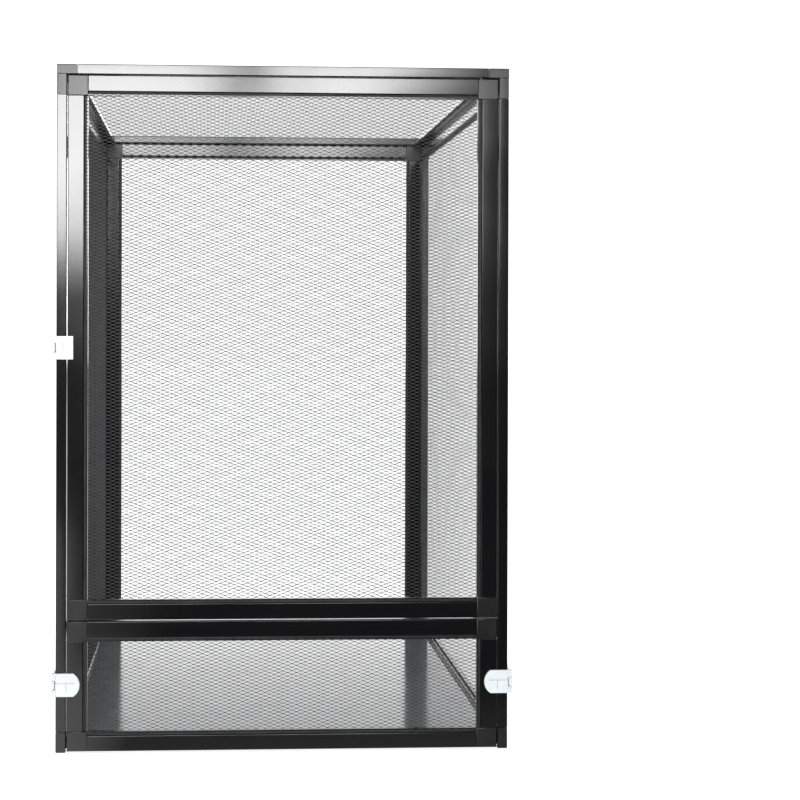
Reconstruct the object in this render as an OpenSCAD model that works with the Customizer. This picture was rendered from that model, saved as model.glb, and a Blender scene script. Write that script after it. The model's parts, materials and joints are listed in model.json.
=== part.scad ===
// Mesh reptile cage: flat framed mesh panels on plastic corner pieces, a tall upper door hung on
// vertical pivot pins, a low lower door that drops forward, and milky latches with hinged flaps.
// The front faces -Y, +Z is up, and the origin is the middle of the base.

/* [Cage] */
// Overall width of the frame
cage_w = 450; // [360:1:600]
// Overall depth of the frame
cage_d = 450; // [360:1:600]
// Overall height of the frame
cage_h = 680; // [520:1:1000]

/* [Frame profile] */
// Face width of the profile
profile_w = 20; // [19:0.5:26]
// Thickness of the profile
profile_t = 10; // [9:0.5:10.5]
// Wall of the hollow tube
wall = 1; // [0.8:0.1:1.4]
// Width of the spline groove
groove_w = 2.6; // [2.4:0.1:3.2]
// Depth of the spline groove
groove_depth = 4; // [3.4:0.1:5]
// Width of the lip beside the groove
lip_w = 1.4; // [1.2:0.1:2]
// How far the lip lies below the face
lip_drop = 1.2; // [1.1:0.1:1.6]
// Radius of the profile's long edges
edge_r = 0.8; // [0.4:0.1:1.2]

/* [Corner pieces] */
// Length of a leg inside its tube
leg_len = 24; // [12:1:40]
// Clearance of a leg in its tube
leg_fit = 0.15; // [0.1:0.05:0.4]

/* [Mesh] */
// Length of a diamond, across the panel
diamond_w = 58; // [40:1:90]
// Height of a diamond
diamond_h = 30; // [22:1:60]
// Width of a strand
strand_w = 2; // [1.2:0.1:2.4]
// Thickness of a strand
strand_t = 0.5; // [0.4:0.05:0.6]
// Thickness of the hem that is turned into the groove
hem_t = 0.4; // [0.3:0.05:0.6]
// Clearance of the hem and the spline in the groove
hem_fit = 0.1; // [0.05:0.05:0.2]

/* [Floor] */
// Thickness of the floor sheet
sheet_t = 2; // [1:0.1:4]
// Clearance of the floor sheet at the walls
sheet_fit = 0.5; // [0.2:0.1:2]
// Gap between the floor and the lower door
floor_gap = 1.2; // [0.8:0.1:3]

/* [Doors] */
// Height of the lower door
lower_door_h = 129; // [90:1:200]
// Gap between the two doors
door_gap = 1.4; // [1.3:0.1:4]
// Gap at each side of a door
side_gap = 1; // [1:0.1:3]
// Gap between the upper door and the top panel
top_gap = 1; // [0.6:0.1:2]
// Gap under the lower door
foot_gap = 0.3; // [0.2:0.1:1]

/* [Door pivots] */
// Diameter of the upper door's pins
pin_d = 4; // [3:0.1:5]
// Depth of a pin in the upper door
pin_in = 9; // [6:0.5:14]
// Depth of the top pin in the top panel
pin_seat = 7; // [5:0.5:8]
// Distance from the upper door's edge to its pin
pivot_in = 16; // [16:0.5:17.5]
// Radius of the lower door's hinge edge, round its pin
hinge_r = 2.5; // [2:0.1:3]
// Diameter of the lower door's pins
low_pin_d = 2.4; // [1.8:0.1:2.8]
// Depth of a pin in the lower door
low_pin_in = 12; // [8:0.5:16]
// Depth of a pin in the side panel
low_pin_seat = 8; // [5:0.5:9]
// Radial clearance of pins in their bores
pin_fit = 0.05; // [0.02:0.01:0.1]

/* [Hinge bracket] */
// Thickness of the bracket
bracket_t = 0.8; // [0.6:0.1:0.9]
// Clearance of the bracket under the upper door
bracket_fit = 0.15; // [0.1:0.05:0.15]
// Length of the bracket's leaf down the side panel
leaf_h = 20; // [14:1:40]
// Width of the bracket's leaf
leaf_w = 5.5; // [5:0.5:6]
// Diameter of a bracket rivet
rivet_d = 2.4; // [1.6:0.1:3]

/* [Latches] */
// Height of a latch
latch_h = 23; // [16:1:26]
// Thickness of the latch plates
plate_t = 2; // [1.5:0.1:3]
// Thickness of the pad under a latch plate
pad_t = 0.5; // [0.4:0.1:1]
// Reach of the upper latch over the front, from the side of the cage
upper_reach = 17; // [15.5:0.5:22]
// Reach of a lower latch over the front, from the side of the cage
lower_reach = 24; // [20:0.5:28]
// Height of the lower latches above the middle of their door
lower_rise = 2.5; // [-4:0.5:6]
// Radius of a lower latch's round end
end_r = 13.5; // [12:0.5:20]
// Length of a flap along the side of the cage
flap_len = 18; // [12:1:30]
// Height of the finger lip at a flap's end
finger_lip = 2; // [1:0.1:4]
// Radius of a latch's barrel
barrel_r = 2; // [1.6:0.1:2.6]
// Radius of a latch's pin
latch_pin_r = 0.9; // [0.6:0.05:1.1]
// Gap between a latch and the side of the cage, and between its knuckles
latch_gap = 0.6; // [0.5:0.1:1]

/* [Panel screws] */
// Shank diameter of a screw
screw_d = 3.5; // [3:0.1:4]
// Length of a screw, head included
screw_len = 22; // [16:1:26]
// Head diameter of a screw
head_d = 6.4; // [5:0.1:7]
// Width of the slots in a screw's cross recess
recess_w = 1; // [0.6:0.1:1.4]
// Radial clearance of a screw in its holes
screw_fit = 0.1; // [0.05:0.05:0.3]

/* [Hidden] */
$fn = 32;
// Overrun of cuts
cut = 0.5;
// Steps in each rounded edge
edge_steps = 2;
// Sides of screws, rivets and latch barrels, which are small
fastener_sides = 12;
// Gap between the two layers of strands, and between strips and the corner pieces
layer_gap = 0.1;
// Width of the mesh hem inside the opening
hem_w = 1;
// How far the spline lies below the face
spline_drop = 0.6;
// Inset of the bracket's tab from the front, and its margin past the pin
tab_inset = 1;
tab_margin = 4;
// Head of a bracket rivet
rivet_head_d = 4;
rivet_head_t = 0.7;
// Share of a latch's height that the flap's knuckle takes
knuckle_share = 0.36;
// Depth and arm length of a screw's recess as shares of its head's diameter
recess_share = 0.3;
recess_arm_share = 0.44;
// Depth of the upper back screws below the side panel's edge, as a share of the profile's width
high_screw_share = 0.75;
// Margin of a latch's pad from the edges of the stile and the plate
pad_margin = 0.8;
// Places of the two rivets down the bracket's leaf
rivet_shares = [0.35, 0.75];
// Thickness of the finger lip
finger_lip_t = 1.4;

tube_w = profile_w - groove_w - lip_w;
mesh_t = 2 * strand_t + layer_gap;
hem_in = profile_w - lip_w - hem_fit - hem_t;
side_h = cage_h - profile_t;
inner_w = cage_w - 2 * profile_t;
floor_d = cage_d - 2 * profile_t - floor_gap;
door_w = inner_w - 2 * side_gap;
upper_door_z = foot_gap + lower_door_h + door_gap;
upper_door_h = side_h - top_gap - upper_door_z;
front_y = -cage_d / 2;
pivot_x = door_w / 2 - pivot_in;
pivot_y = front_y + profile_t / 2;
low_pivot_y = front_y + hinge_r;
low_pivot_z = foot_gap + hinge_r;
bracket_z = upper_door_z - bracket_fit - bracket_t;
leaf_y = front_y + tube_w - leaf_w;
knuckle_h = latch_h * knuckle_share;
barrel_x = -cage_w / 2 - latch_gap - barrel_r;
barrel_y = front_y - pad_t - plate_t + barrel_r;
head_h = (head_d - screw_d) / 2;
upper_latch_z = upper_door_z + upper_door_h / 2;
lower_latch_z = foot_gap + lower_door_h / 2 + lower_rise;

frame_colour = "#1d1d1f";
corner_colour = "#3a3b3d";
mesh_colour = "#26272a";
spline_colour = "#111112";
sheet_colour = "#0e0e10";
latch_colour = "#e2e6e8";
steel_colour = "#b9bcc0";

// Quarter round about a centre, from a start angle
function quarter(centre, r, start) = [
    for (i = [0:edge_steps])
        let (angle = start + 90 * i / edge_steps)
        centre + r * [cos(angle), sin(angle)]
];

// Rectangle with rounded corners, the first of them with a radius of its own
function rounded_outline(w, t, first_r) = concat(
    quarter([first_r, first_r], first_r, 180),
    quarter([w - edge_r, edge_r], edge_r, 270),
    quarter([w - edge_r, t - edge_r], edge_r, 0),
    quarter([edge_r, t - edge_r], edge_r, 90)
);

// Outline of the profile: across its width from the outer edge, and inwards from the face
function profile_outline(first_r) = concat(
    quarter([first_r, first_r], first_r, 180),
    quarter([tube_w - edge_r, edge_r], edge_r, 270),
    [
        [tube_w, groove_depth],
        [profile_w - lip_w, groove_depth],
        [profile_w - lip_w, lip_drop],
        [profile_w, lip_drop],
        [profile_w, groove_depth + wall],
        [tube_w, groove_depth + wall]
    ],
    quarter([tube_w - edge_r, profile_t - edge_r], edge_r, 0),
    quarter([edge_r, profile_t - edge_r], edge_r, 90)
);

// Length of profile with its hollow
module bar(length, first_r) {
    difference() {
        linear_extrude(length) polygon(profile_outline(first_r));
        translate([wall, wall, -cut])
            cube([tube_w - 2 * wall, profile_t - 2 * wall, length + 2 * cut]);
    }
}

// Members of a flat panel that lies in X and Y with its face at 0 and its inside towards +Z
module stile_low(panel_h, first_r = edge_r) {
    translate([0, panel_h - profile_w, 0]) rotate([90, 0, 0]) bar(panel_h - 2 * profile_w, first_r);
}

module stile_high(panel_w, panel_h) {
    translate([panel_w, 0, 0]) mirror([1, 0, 0]) stile_low(panel_h);
}

module rail_low(panel_w, first_r = edge_r) {
    mirror([1, -1, 0]) stile_low(panel_w, first_r);
}

module rail_high(panel_w, panel_h) {
    translate([0, panel_h, 0]) mirror([0, 1, 0]) rail_low(panel_w);
}

// Corner piece at the panel's origin, with a leg in each of the two tubes
module corner_piece(first_r) {
    leg_w = tube_w - 2 * wall - 2 * leg_fit;
    leg_t = profile_t - 2 * wall - 2 * leg_fit;
    leg_reach = profile_w / 2 + leg_len;
    intersection() {
        translate([0, profile_w, 0]) rotate([90, 0, 0])
            linear_extrude(profile_w) polygon(rounded_outline(profile_w, profile_t, edge_r));
        mirror([1, -1, 0]) translate([0, profile_w, 0]) rotate([90, 0, 0])
            linear_extrude(profile_w) polygon(rounded_outline(profile_w, profile_t, first_r));
    }
    translate([wall + leg_fit, profile_w / 2, wall + leg_fit]) cube([leg_w, leg_reach, leg_t]);
    translate([profile_w / 2, wall + leg_fit, wall + leg_fit]) cube([leg_reach, leg_w, leg_t]);
}

module corner_set(panel_w, panel_h, low_r = edge_r) {
    corner_piece(low_r);
    translate([panel_w, 0, 0]) mirror([1, 0, 0]) corner_piece(low_r);
    translate([0, panel_h, 0]) mirror([0, 1, 0]) corner_piece(edge_r);
    translate([panel_w, panel_h, 0]) mirror([1, 0, 0]) mirror([0, 1, 0]) corner_piece(edge_r);
}

// Strands of one layer, all leaning the same way across the opening
module strand_layer(panel_w, panel_h) {
    edge = profile_w + hem_w / 2;
    open_w = panel_w - 2 * edge;
    open_h = panel_h - 2 * edge;
    across = round(open_w / diamond_w);
    up = round(open_h / diamond_h);
    step = [open_w / across, open_h / up];
    for (k = [1 - across : up - 1]) {
        first = max(0, -k);
        last = min(across, up - k);
        run = [(last - first) * step.x, (last - first) * step.y];
        translate([edge + first * step.x, edge + (first + k) * step.y, 0])
            rotate(atan2(run.y, run.x))
            translate([0, -strand_w / 2, 0]) cube([norm(run), strand_w, strand_t]);
    }
}

// Hem that lies on the lips and turns down into the grooves
module mesh_hem(panel_w, panel_h) {
    notch = profile_w + layer_gap;
    inner = profile_w + hem_w;
    turn = groove_depth - lip_drop + mesh_t - hem_fit;
    difference() {
        translate([hem_in, hem_in, 0]) cube([panel_w - 2 * hem_in, panel_h - 2 * hem_in, mesh_t]);
        translate([inner, inner, -cut]) cube([panel_w - 2 * inner, panel_h - 2 * inner, mesh_t + 2 * cut]);
        for (x = [0, panel_w - notch], y = [0, panel_h - notch])
            translate([x, y, -cut]) cube([notch, notch, mesh_t + 2 * cut]);
    }
    for (x = [hem_in, panel_w - hem_in - hem_t])
        translate([x, notch, 0]) cube([hem_t, panel_h - 2 * notch, turn]);
    for (y = [hem_in, panel_h - hem_in - hem_t])
        translate([notch, y, 0]) cube([panel_w - 2 * notch, hem_t, turn]);
}

module panel_mesh(panel_w, panel_h) {
    translate([0, 0, lip_drop - mesh_t]) {
        mesh_hem(panel_w, panel_h);
        strand_layer(panel_w, panel_h);
        translate([panel_w, 0, strand_t + layer_gap]) mirror([1, 0, 0]) strand_layer(panel_w, panel_h);
    }
}

// Strips that press the hem into the grooves
module spline_set(panel_w, panel_h) {
    start = profile_w + layer_gap;
    strip_w = hem_in - tube_w - 2 * hem_fit;
    strip_t = groove_depth - spline_drop - hem_fit;
    for (x = [tube_w + hem_fit, panel_w - hem_in + hem_fit])
        translate([x, start, spline_drop]) cube([strip_w, panel_h - 2 * start, strip_t]);
    for (y = [tube_w + hem_fit, panel_h - hem_in + hem_fit])
        translate([start, y, spline_drop]) cube([panel_w - 2 * start, strip_w, strip_t]);
}

// Places of the panels in the cage: the grooves of the fixed panels face inwards, those of the doors outwards
module place_top() {
    translate([-cage_w / 2, -cage_d / 2, side_h]) children();
}

module place_left() {
    translate([-inner_w / 2, -cage_d / 2, 0]) mirror([1, 0, 0]) rotate([90, 0, 90]) children();
}

module place_right() {
    mirror([1, 0, 0]) place_left() children();
}

module place_back() {
    translate([-inner_w / 2, cage_d / 2 - profile_t, 0]) mirror([0, 1, 0]) rotate([90, 0, 0]) children();
}

module place_floor() {
    translate([-inner_w / 2, front_y + profile_t + floor_gap, 0]) children();
}

module place_door(z) {
    translate([-door_w / 2, front_y, z]) mirror([0, 1, 0]) rotate([90, 0, 0]) children();
}

// Pins of the two doors, widened for their bores
module upper_pins(fit) {
    top_z = side_h - top_gap;
    translate([pivot_x, pivot_y, top_z - pin_in - fit])
        cylinder(h = pin_in + top_gap + pin_seat + 2 * fit, d = pin_d + 2 * fit);
    translate([pivot_x, pivot_y, bracket_z - fit])
        cylinder(h = upper_door_z - bracket_z + pin_in + 2 * fit, d = pin_d + 2 * fit);
}

module lower_pins(fit) {
    length = low_pin_in + side_gap + low_pin_seat;
    for (side = [0, 1])
        mirror([side, 0, 0])
            translate([door_w / 2 - low_pin_in - fit, low_pivot_y, low_pivot_z])
            rotate([0, 90, 0]) cylinder(h = length + 2 * fit, d = low_pin_d + 2 * fit);
}

// One countersunk screw along +Z, with its head's face at 0 and its point below, widened for its hole
module screw(fit) {
    $fn = fastener_sides;
    translate([0, 0, -screw_len - fit]) cylinder(h = screw_len + fit, d = screw_d + 2 * fit);
    translate([0, 0, -head_h - fit])
        cylinder(h = head_h + fit, d1 = screw_d + 2 * fit, d2 = head_d + 4 * fit);
}

module screw_recess() {
    depth = head_d * recess_share;
    arm = head_d * recess_arm_share;
    for (turn = [0, 90])
        rotate(turn) translate([-arm / 2, -recess_w / 2, -depth]) cube([arm, recess_w, depth + cut]);
}

// Places of the screws: down through the top, and in through the side panels
module at_top_screws() {
    for (x = [-1, 1], y = [-1, 1])
        translate([x * (cage_w - profile_t) / 2, y * (cage_d - profile_w) / 2, cage_h]) children();
}

module at_back_screws() {
    back_y = (cage_d - profile_t) / 2;
    for (side = [0, 1], z = [profile_w / 2, side_h - profile_w * high_screw_share])
        mirror([side, 0, 0]) translate([-cage_w / 2, back_y, z]) rotate([0, -90, 0]) children();
}

module at_floor_screws() {
    front = front_y + profile_t + floor_gap + (profile_w - profile_t - floor_gap) / 2;
    back = cage_d / 2 - profile_t - (profile_w - profile_t) / 2;
    for (side = [0, 1], y = [front, back])
        mirror([side, 0, 0]) translate([-cage_w / 2, y, profile_t / 2]) rotate([0, -90, 0]) children();
}

module side_panel_holes() {
    at_top_screws() screw(screw_fit);
    at_back_screws() screw(screw_fit);
    at_floor_screws() screw(screw_fit);
    lower_pins(pin_fit);
}

module at_rivets() {
    for (share = rivet_shares)
        translate([inner_w / 2 - bracket_t, leaf_y + leaf_w / 2, bracket_z - leaf_h * share])
            rotate([0, 90, 0]) children();
}

module rivet_shanks(fit) {
    $fn = fastener_sides;
    length = bracket_t + wall + rivet_head_t;
    at_rivets() translate([0, 0, -fit]) cylinder(h = length + 2 * fit, d = rivet_d + 2 * fit);
}

// Top panel
module top_front_rail() {
    color(frame_colour) difference() {
        place_top() rail_low(cage_w);
        upper_pins(pin_fit);
    }
}

module top_back_rail() {
    color(frame_colour) place_top() rail_high(cage_w, cage_d);
}

module top_left_rail() {
    color(frame_colour) place_top() stile_low(cage_d);
}

module top_right_rail() {
    color(frame_colour) place_top() stile_high(cage_w, cage_d);
}

module top_corners() {
    color(corner_colour) difference() {
        place_top() corner_set(cage_w, cage_d);
        at_top_screws() screw(screw_fit);
        upper_pins(pin_fit);
    }
}

module top_mesh() {
    color(mesh_colour) place_top() panel_mesh(cage_w, cage_d);
}

module top_spline() {
    color(spline_colour) place_top() spline_set(cage_w, cage_d);
}

// Left panel
module left_front_stile() {
    color(frame_colour) place_left() stile_low(side_h);
}

module left_back_stile() {
    color(frame_colour) place_left() stile_high(cage_d, side_h);
}

module left_top_rail() {
    color(frame_colour) place_left() rail_high(cage_d, side_h);
}

module left_bottom_rail() {
    color(frame_colour) place_left() rail_low(cage_d);
}

module left_corners() {
    color(corner_colour) difference() {
        place_left() corner_set(cage_d, side_h);
        side_panel_holes();
    }
}

module left_mesh() {
    color(mesh_colour) place_left() panel_mesh(cage_d, side_h);
}

module left_spline() {
    color(spline_colour) place_left() spline_set(cage_d, side_h);
}

// Right panel
module right_front_stile() {
    color(frame_colour) difference() {
        place_right() stile_low(side_h);
        rivet_shanks(pin_fit);
    }
}

module right_back_stile() {
    color(frame_colour) place_right() stile_high(cage_d, side_h);
}

module right_top_rail() {
    color(frame_colour) place_right() rail_high(cage_d, side_h);
}

module right_bottom_rail() {
    color(frame_colour) place_right() rail_low(cage_d);
}

module right_corners() {
    color(corner_colour) difference() {
        place_right() corner_set(cage_d, side_h);
        side_panel_holes();
    }
}

module right_mesh() {
    color(mesh_colour) place_right() panel_mesh(cage_d, side_h);
}

module right_spline() {
    color(spline_colour) place_right() spline_set(cage_d, side_h);
}

// Back panel
module back_left_stile() {
    color(frame_colour) place_back() stile_low(side_h);
}

module back_right_stile() {
    color(frame_colour) place_back() stile_high(inner_w, side_h);
}

module back_top_rail() {
    color(frame_colour) place_back() rail_high(inner_w, side_h);
}

module back_bottom_rail() {
    color(frame_colour) place_back() rail_low(inner_w);
}

module back_corners() {
    color(corner_colour) difference() {
        place_back() corner_set(inner_w, side_h);
        at_back_screws() screw(screw_fit);
    }
}

module back_mesh() {
    color(mesh_colour) place_back() panel_mesh(inner_w, side_h);
}

module back_spline() {
    color(spline_colour) place_back() spline_set(inner_w, side_h);
}

// Floor
module floor_front_rail() {
    color(frame_colour) place_floor() rail_low(inner_w);
}

module floor_back_rail() {
    color(frame_colour) place_floor() rail_high(inner_w, floor_d);
}

module floor_left_rail() {
    color(frame_colour) place_floor() stile_low(floor_d);
}

module floor_right_rail() {
    color(frame_colour) place_floor() stile_high(inner_w, floor_d);
}

module floor_corners() {
    color(corner_colour) difference() {
        place_floor() corner_set(inner_w, floor_d);
        at_floor_screws() screw(screw_fit);
    }
}

module floor_sheet() {
    color(sheet_colour) place_floor()
        translate([sheet_fit, 0, profile_t])
        cube([inner_w - 2 * sheet_fit, floor_d - sheet_fit, sheet_t]);
}

// Upper door
module upper_door_left_stile() {
    color(frame_colour) place_door(upper_door_z) stile_low(upper_door_h);
}

module upper_door_right_stile() {
    color(frame_colour) place_door(upper_door_z) stile_high(door_w, upper_door_h);
}

module upper_door_top_rail() {
    color(frame_colour) place_door(upper_door_z) rail_high(door_w, upper_door_h);
}

module upper_door_bottom_rail() {
    color(frame_colour) place_door(upper_door_z) rail_low(door_w);
}

module upper_door_corners() {
    color(corner_colour) difference() {
        place_door(upper_door_z) corner_set(door_w, upper_door_h);
        upper_pins(pin_fit);
    }
}

module upper_door_mesh() {
    color(mesh_colour) place_door(upper_door_z) panel_mesh(door_w, upper_door_h);
}

module upper_door_spline() {
    color(spline_colour) place_door(upper_door_z) spline_set(door_w, upper_door_h);
}

// Lower door, with its hinge edge rounded about the pins
module lower_door_left_stile() {
    color(frame_colour) place_door(foot_gap) stile_low(lower_door_h);
}

module lower_door_right_stile() {
    color(frame_colour) place_door(foot_gap) stile_high(door_w, lower_door_h);
}

module lower_door_top_rail() {
    color(frame_colour) place_door(foot_gap) rail_high(door_w, lower_door_h);
}

module lower_door_bottom_rail() {
    color(frame_colour) place_door(foot_gap) rail_low(door_w, hinge_r);
}

module lower_door_corners() {
    color(corner_colour) difference() {
        place_door(foot_gap) corner_set(door_w, lower_door_h, hinge_r);
        lower_pins(pin_fit);
    }
}

module lower_door_mesh() {
    color(mesh_colour) place_door(foot_gap) panel_mesh(door_w, lower_door_h);
}

module lower_door_spline() {
    color(spline_colour) place_door(foot_gap) spline_set(door_w, lower_door_h);
}

// Hinge parts and fasteners
module hinge_bracket() {
    tab_x = pivot_x - pin_d / 2 - tab_margin;
    color(steel_colour) difference() {
        union() {
            translate([tab_x, front_y + tab_inset, bracket_z])
                cube([inner_w / 2 - tab_x, tube_w - tab_inset, bracket_t]);
            translate([inner_w / 2 - bracket_t, leaf_y, bracket_z - leaf_h])
                cube([bracket_t, leaf_w, leaf_h + bracket_t]);
        }
        upper_pins(pin_fit);
        rivet_shanks(pin_fit);
    }
}

module bracket_rivets() {
    color(steel_colour) {
        rivet_shanks(0);
        at_rivets() translate([0, 0, -rivet_head_t])
            cylinder(h = rivet_head_t, d = rivet_head_d, $fn = fastener_sides);
    }
}

module upper_door_pins() {
    color(steel_colour) upper_pins(0);
}

module lower_door_pins() {
    color(steel_colour) lower_pins(0);
}

module panel_screws() {
    color(steel_colour) {
        at_top_screws() difference() { screw(0); screw_recess(); }
        at_back_screws() difference() { screw(0); screw_recess(); }
        at_floor_screws() difference() { screw(0); screw_recess(); }
    }
}

// Latch at the left front corner, about its own middle height: the plate that is fixed to the door
module latch_plate(reach, round_end) {
    straight = round_end ? reach - end_r + sqrt(end_r * end_r - latch_h * latch_h / 4) : reach;
    plate_y = front_y - pad_t - plate_t;
    side_x = -cage_w / 2;
    translate([barrel_x, plate_y, -latch_h / 2]) cube([side_x + straight - barrel_x, plate_t, latch_h]);
    if (round_end)
        intersection() {
            translate([side_x + reach - end_r, plate_y, 0]) rotate([-90, 0, 0])
                cylinder(h = plate_t, r = end_r);
            translate([side_x, plate_y, -latch_h / 2]) cube([reach, plate_t, latch_h]);
        }
}

module latch_base(reach, round_end) {
    pad_x = -door_w / 2 + pad_margin;
    pad_w = -cage_w / 2 + reach - pad_margin - pad_x;
    gap_h = knuckle_h + 2 * latch_gap;
    difference() {
        union() {
            latch_plate(reach, round_end);
            translate([pad_x, front_y - pad_t - plate_t / 2, -knuckle_h / 2])
                cube([pad_w, pad_t + plate_t / 2, knuckle_h]);
            translate([barrel_x, barrel_y, -latch_h / 2])
                cylinder(h = latch_h, r = barrel_r, $fn = fastener_sides);
        }
        translate([barrel_x - barrel_r - cut, barrel_y - barrel_r - cut, -gap_h / 2])
            cube([2 * barrel_r + latch_gap + cut, 2 * barrel_r + 2 * cut, gap_h]);
        translate([barrel_x, barrel_y, -latch_h / 2 - cut])
            cylinder(h = latch_h + 2 * cut, r = latch_pin_r + pin_fit);
    }
}

// The flap with its knuckle and pin, closed along the side of the cage
module latch_flap() {
    leaf_x = -cage_w / 2 - latch_gap - plate_t;
    leaf_start = barrel_r + latch_gap;
    translate([barrel_x, barrel_y, -latch_h / 2]) cylinder(h = latch_h, r = latch_pin_r);
    translate([barrel_x, barrel_y, -knuckle_h / 2])
        cylinder(h = knuckle_h, r = barrel_r, $fn = fastener_sides);
    translate([leaf_x, barrel_y, -knuckle_h / 2]) cube([plate_t, flap_len, knuckle_h]);
    translate([leaf_x, barrel_y + leaf_start, -latch_h / 2]) cube([plate_t, flap_len - leaf_start, latch_h]);
    translate([leaf_x - finger_lip, barrel_y + flap_len - finger_lip_t, -latch_h / 2])
        cube([finger_lip + plate_t, finger_lip_t, latch_h]);
}

module upper_latch_base() {
    color(latch_colour) translate([0, 0, upper_latch_z]) latch_base(upper_reach, false);
}

module upper_latch_flap() {
    color(latch_colour) translate([0, 0, upper_latch_z]) latch_flap();
}

module lower_left_latch_base() {
    color(latch_colour) translate([0, 0, lower_latch_z]) latch_base(lower_reach, true);
}

module lower_left_latch_flap() {
    color(latch_colour) translate([0, 0, lower_latch_z]) latch_flap();
}

module lower_right_latch_base() {
    color(latch_colour) mirror([1, 0, 0]) translate([0, 0, lower_latch_z]) latch_base(lower_reach, true);
}

module lower_right_latch_flap() {
    color(latch_colour) mirror([1, 0, 0]) translate([0, 0, lower_latch_z]) latch_flap();
}

top_front_rail();
top_back_rail();
top_left_rail();
top_right_rail();
top_corners();
top_mesh();
top_spline();
left_front_stile();
left_back_stile();
left_top_rail();
left_bottom_rail();
left_corners();
left_mesh();
left_spline();
right_front_stile();
right_back_stile();
right_top_rail();
right_bottom_rail();
right_corners();
right_mesh();
right_spline();
back_left_stile();
back_right_stile();
back_top_rail();
back_bottom_rail();
back_corners();
back_mesh();
back_spline();
floor_front_rail();
floor_back_rail();
floor_left_rail();
floor_right_rail();
floor_corners();
floor_sheet();
upper_door_left_stile();
upper_door_right_stile();
upper_door_top_rail();
upper_door_bottom_rail();
upper_door_corners();
upper_door_mesh();
upper_door_spline();
lower_door_left_stile();
lower_door_right_stile();
lower_door_top_rail();
lower_door_bottom_rail();
lower_door_corners();
lower_door_mesh();
lower_door_spline();
hinge_bracket();
bracket_rivets();
upper_door_pins();
lower_door_pins();
panel_screws();
upper_latch_base();
upper_latch_flap();
lower_left_latch_base();
lower_left_latch_flap();
lower_right_latch_base();
lower_right_latch_flap();
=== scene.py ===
"""Looks of a mesh reptile cage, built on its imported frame.

The rails are anodised, the corner pieces moulded, the nets of fine expanded metal and the latches milky.
"""

from __future__ import annotations

import json
import logging
import math
from dataclasses import dataclass
from enum import Enum

import bmesh
import bpy
from mathutils import Matrix, Vector


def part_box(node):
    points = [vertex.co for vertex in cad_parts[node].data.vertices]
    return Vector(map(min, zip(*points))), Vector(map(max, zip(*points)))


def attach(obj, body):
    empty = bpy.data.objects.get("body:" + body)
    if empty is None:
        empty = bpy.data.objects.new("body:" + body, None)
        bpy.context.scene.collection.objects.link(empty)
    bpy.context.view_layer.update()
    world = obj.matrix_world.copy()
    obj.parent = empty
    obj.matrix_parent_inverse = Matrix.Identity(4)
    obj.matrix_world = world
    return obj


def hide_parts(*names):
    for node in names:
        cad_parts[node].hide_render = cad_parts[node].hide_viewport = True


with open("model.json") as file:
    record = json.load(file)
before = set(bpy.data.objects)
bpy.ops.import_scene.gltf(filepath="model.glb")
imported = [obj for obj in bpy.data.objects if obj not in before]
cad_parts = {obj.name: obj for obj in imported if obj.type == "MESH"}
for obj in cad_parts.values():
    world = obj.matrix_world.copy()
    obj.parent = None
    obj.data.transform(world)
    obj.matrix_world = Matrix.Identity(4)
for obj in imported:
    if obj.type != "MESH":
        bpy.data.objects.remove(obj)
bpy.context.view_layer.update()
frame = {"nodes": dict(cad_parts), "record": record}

MM = 0.001
WELD = 1e-6  # Points this near, in metres, are one point.
LEVEL = 1e-7  # Points that differ by less than this, in metres, lie in one plane.
LOG = logging.getLogger("cage")

Tree = bpy.types.NodeTree
Node = bpy.types.Node
Socket = bpy.types.NodeSocket
Shape = bmesh.types.BMesh


class Axis(Enum):
    """The row frame's axes, by their place in a vector."""

    X = 0
    Y = 1
    Z = 2

    @property
    def vector(self) -> Vector:
        """The unit vector along the axis."""
        return Vector([1.0 if place == self.value else 0.0 for place in range(3)])


class Side(Enum):
    """Which side of the cage a latch is on, as the factor on X that turns a left latch into it."""

    LEFT = 1
    RIGHT = -1


def linear(colour: str) -> tuple[float, float, float, float]:
    """Turns an sRGB hex colour into linear light.

    Args:
        colour: The colour as "#rrggbb".

    Returns:
        Red, green, blue and a full alpha.
    """
    channels = [int(colour[i : i + 2], 16) / 255 for i in (1, 3, 5)]
    light = [c / 12.92 if c <= 0.04045 else ((c + 0.055) / 1.055) ** 2.4 for c in channels]
    return (light[0], light[1], light[2], 1.0)


def node(tree: Tree, kind: str, inputs: dict | None = None, **settings: object) -> Node:
    """Adds a node, with its settings and its inputs.

    Args:
        tree: The node tree that it goes into.
        kind: Blender's name for the kind of node.
        inputs: Values, or output sockets to link, by input name or number.
        settings: Properties of the node.

    Returns:
        The new node.
    """
    made = tree.nodes.new(kind)
    for key, value in settings.items():
        setattr(made, key, value)
    for key, value in (inputs or {}).items():
        if isinstance(value, Socket):
            tree.links.new(value, made.inputs[key])
        else:
            made.inputs[key].default_value = value
    return made


def noise(tree: Tree, place: Socket, detail: float, grain_mm: float = 1000.0) -> Socket:
    """Adds a noise pattern.

    Args:
        tree: The node tree.
        place: The coordinates.
        detail: How many finer layers it has.
        grain_mm: The size of its grain; a metre leaves the coordinates as they are.

    Returns:
        The pattern's height.
    """
    inputs = {"Vector": place, "Scale": 1 / (grain_mm * MM), "Detail": detail}
    return node(tree, "ShaderNodeTexNoise", inputs).outputs[0]


def bump(tree: Tree, height: Socket, strength: float, depth: float, under: Socket | None = None) -> Socket:
    """Adds a bump.

    Args:
        tree: The node tree.
        height: The pattern that it follows.
        strength: How much of it shows.
        depth: Its depth, in metres.
        under: A bump that it lies on.

    Returns:
        The bumped normal.
    """
    inputs = {"Height": height, "Strength": strength, "Distance": depth}
    if under is not None:
        inputs["Normal"] = under
    return node(tree, "ShaderNodeBump", inputs).outputs[0]


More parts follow.
